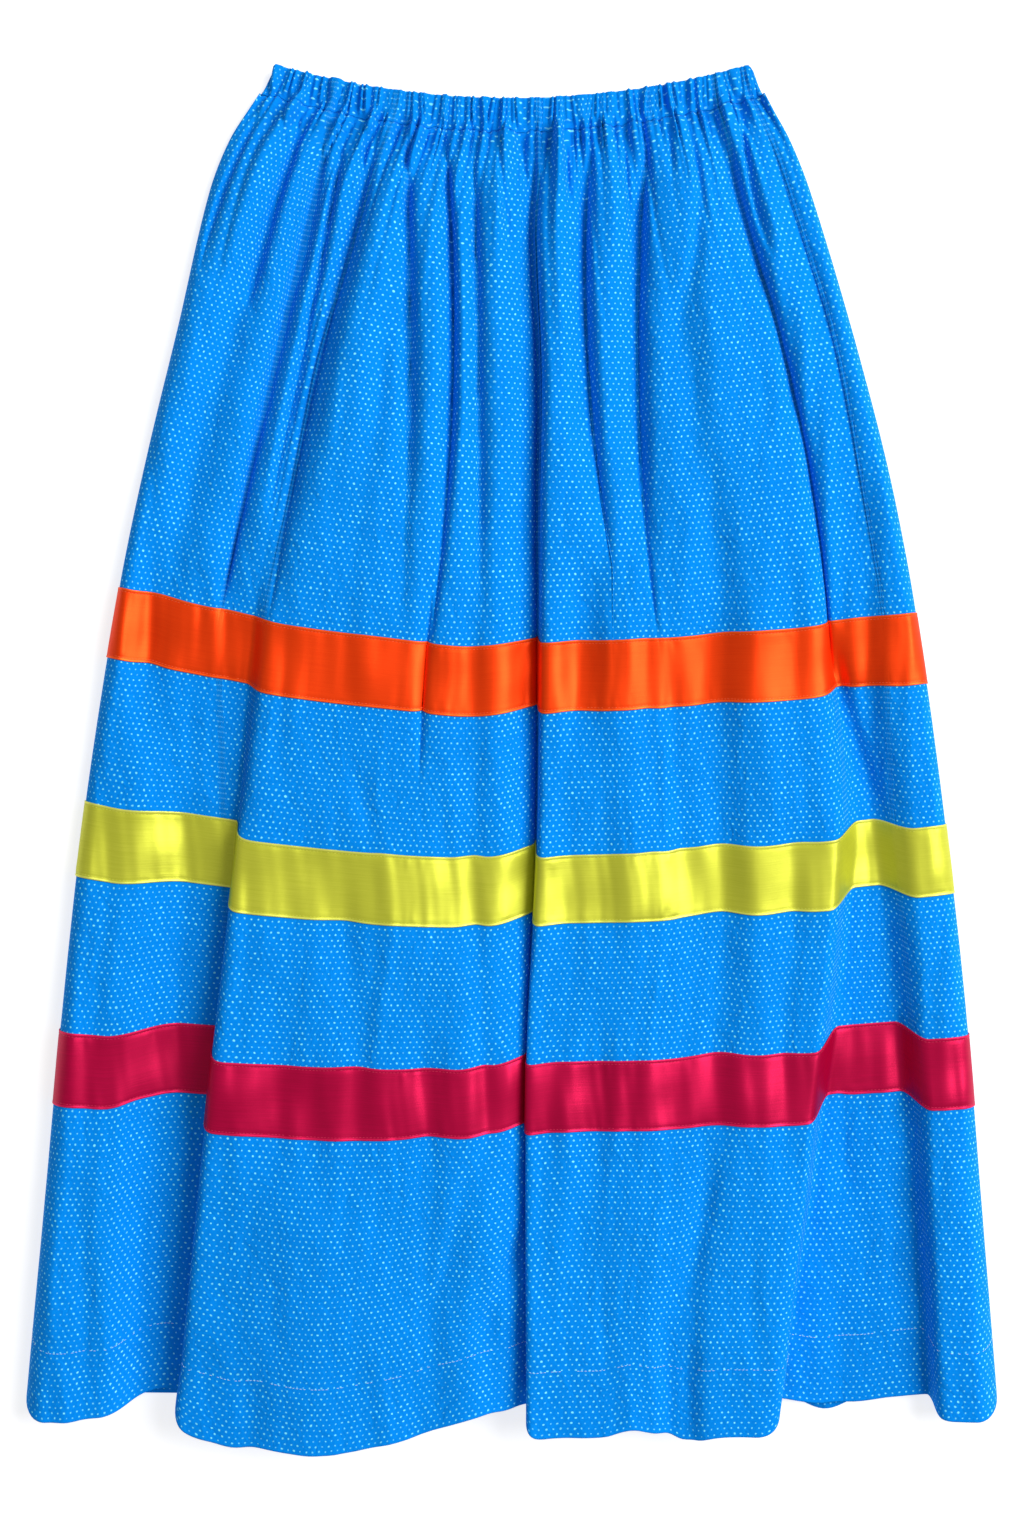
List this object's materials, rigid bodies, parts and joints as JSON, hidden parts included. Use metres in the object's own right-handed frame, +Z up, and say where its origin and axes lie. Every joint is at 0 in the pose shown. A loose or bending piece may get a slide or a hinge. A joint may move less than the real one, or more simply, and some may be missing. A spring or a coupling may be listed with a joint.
{
  "type": "ribbon skirt laid flat",
  "caption": "Full gathered cotton skirt with an elastic waist casing and bands of satin ribbon, laid flat on its back with soft folds.",
  "frame": {"origin": "on the surface that the skirt lies on, under the middle of its bounding box", "axes": "+Z up out of the surface; +Y along the skirt from hem to waist; +X towards the wearer's left side, the viewer's right when the front is looked at from above"},
  "size_m": [0.6945, 0.9866, 0.0468],
  "materials": {
    "cotton": "matt plain-weave cotton, bright blue with small pale blue dots",
    "orange_satin": "glossy polyester satin, orange",
    "yellow_satin": "glossy polyester satin, yellow-green",
    "magenta_satin": "glossy polyester satin, crimson magenta"
  },
  "bodies": {
    "root": {"waistband": "cotton", "front_panel": "cotton", "back_panel": "cotton", "ribbon_orange_front": "orange_satin", "ribbon_orange_back": "orange_satin", "ribbon_yellow_front": "yellow_satin", "ribbon_yellow_back": "yellow_satin", "ribbon_magenta_front": "magenta_satin", "ribbon_magenta_back": "magenta_satin"}
  },
  "joints": []
}
